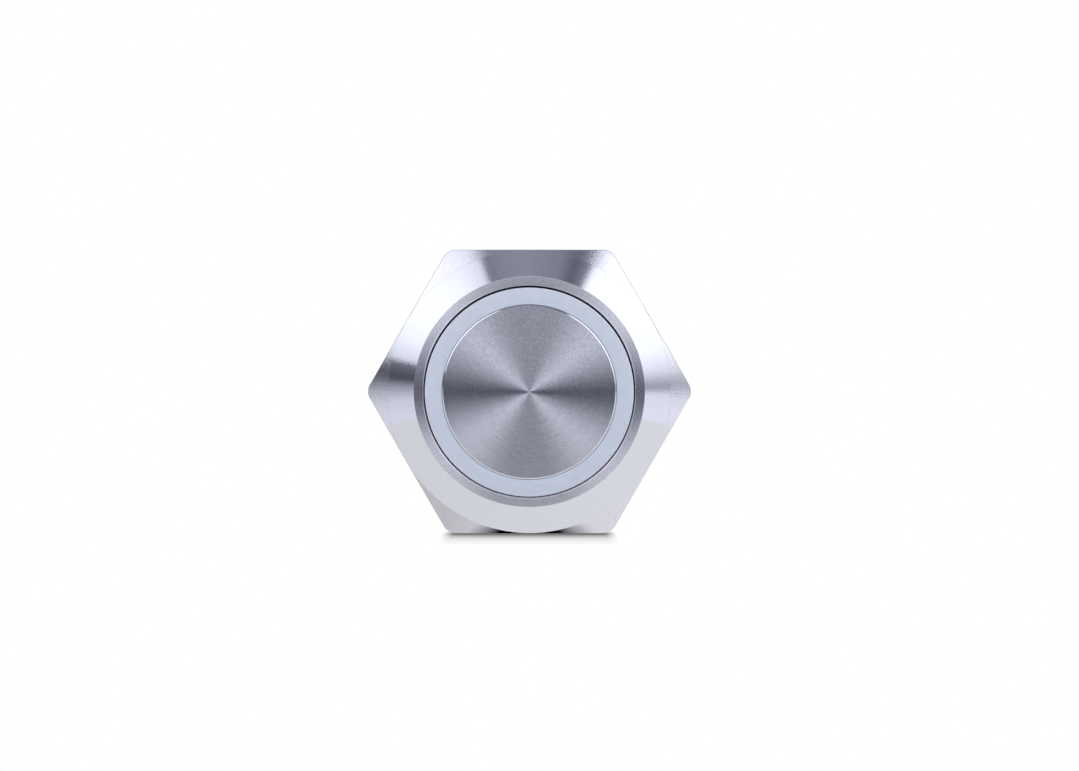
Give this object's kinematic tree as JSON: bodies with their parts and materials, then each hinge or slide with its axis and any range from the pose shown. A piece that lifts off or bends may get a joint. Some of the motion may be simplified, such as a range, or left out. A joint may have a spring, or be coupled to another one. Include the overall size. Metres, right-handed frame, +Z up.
{
  "type": "illuminated push-button switch",
  "caption": "Round metal panel push-button: brushed disc in a lit ring, bevelled head, threaded barrel with gasket, toothed washer and hexagon nut, and rear blade terminals.",
  "frame": {"origin": "on the switch's axis, in the plane of the panel's front face, where the gasket's rear face rests", "axes": "+Y along the axis from the button to the terminals, so the button faces -Y; +Z up, square to a flat of the nut"},
  "size_m": [0.025, 0.035, 0.022],
  "materials": {
    "housing": "fine turned",
    "panel_gasket": "matt",
    "lock_washer": "plated",
    "panel_nut": "plated, slightly coarse",
    "light_ring": "milky translucent",
    "button_seal": "matt",
    "button_disc": "circular brushed",
    "plunger": "moulded",
    "return_spring": "drawn wire",
    "led_carrier": "moulded",
    "led_board": "solder mask",
    "leds": "moulded",
    "led_resistor": "ceramic",
    "contact_spring": "drawn wire",
    "contact_bridge": "stamped",
    "bridge_contacts": "silver",
    "fixed_contacts": "silver",
    "bridge_clip": "stamped",
    "switch_terminal_a": "silver plated",
    "switch_terminal_b": "silver plated",
    "lamp_terminal_a": "silver plated",
    "lamp_terminal_b": "silver plated",
    "base_block": "moulded",
    "terminal_potting": "cast resin"
  },
  "bodies": {
    "switch": {"housing": "housing", "panel_gasket": "panel_gasket", "return_spring": "return_spring", "led_carrier": "led_carrier", "led_board": "led_board", "leds": "leds", "led_resistor": "led_resistor", "fixed_contacts": "fixed_contacts", "switch_terminal_a": "switch_terminal_a", "switch_terminal_b": "switch_terminal_b", "lamp_terminal_a": "lamp_terminal_a", "lamp_terminal_b": "lamp_terminal_b", "base_block": "base_block", "terminal_potting": "terminal_potting"},
    "button": {"button_disc": "button_disc", "light_ring": "light_ring", "button_seal": "button_seal", "plunger": "plunger", "bridge_clip": "bridge_clip", "contact_spring": "contact_spring"},
    "contact": {"contact_bridge": "contact_bridge", "bridge_contacts": "bridge_contacts"},
    "washer": {"lock_washer": "lock_washer"},
    "nut": {"panel_nut": "panel_nut"}
  },
  "joints": [
    {"name": "press", "type": "slide", "parent": "switch", "child": "button", "axis": [0, 1, 0], "range_m": [0, 0.003], "stiffness_N_per_m": 600, "springref_m": -0.003, "deforming": ["return_spring", "contact_spring"]},
    {"name": "contact_travel", "type": "slide", "parent": "switch", "child": "contact", "axis": [0, 1, 0], "range_m": [0, 0.0015]},
    {"name": "washer_slide", "type": "slide", "parent": "switch", "child": "washer", "axis": [0, 1, 0], "range_m": [-0.002, 0.011]},
    {"name": "nut_turn", "type": "hinge", "parent": "washer", "child": "nut", "pos_m": [0, 0.0045, 0], "axis": [0, 1, 0], "range_deg": [-720, 3960]}
  ],
  "couplings": [
    {"joint": "contact_travel", "follows": "press", "ratio": 0.5},
    {"joint": "washer_slide", "follows": "nut_turn", "m_per_rad": 0.00015915}
  ]
}
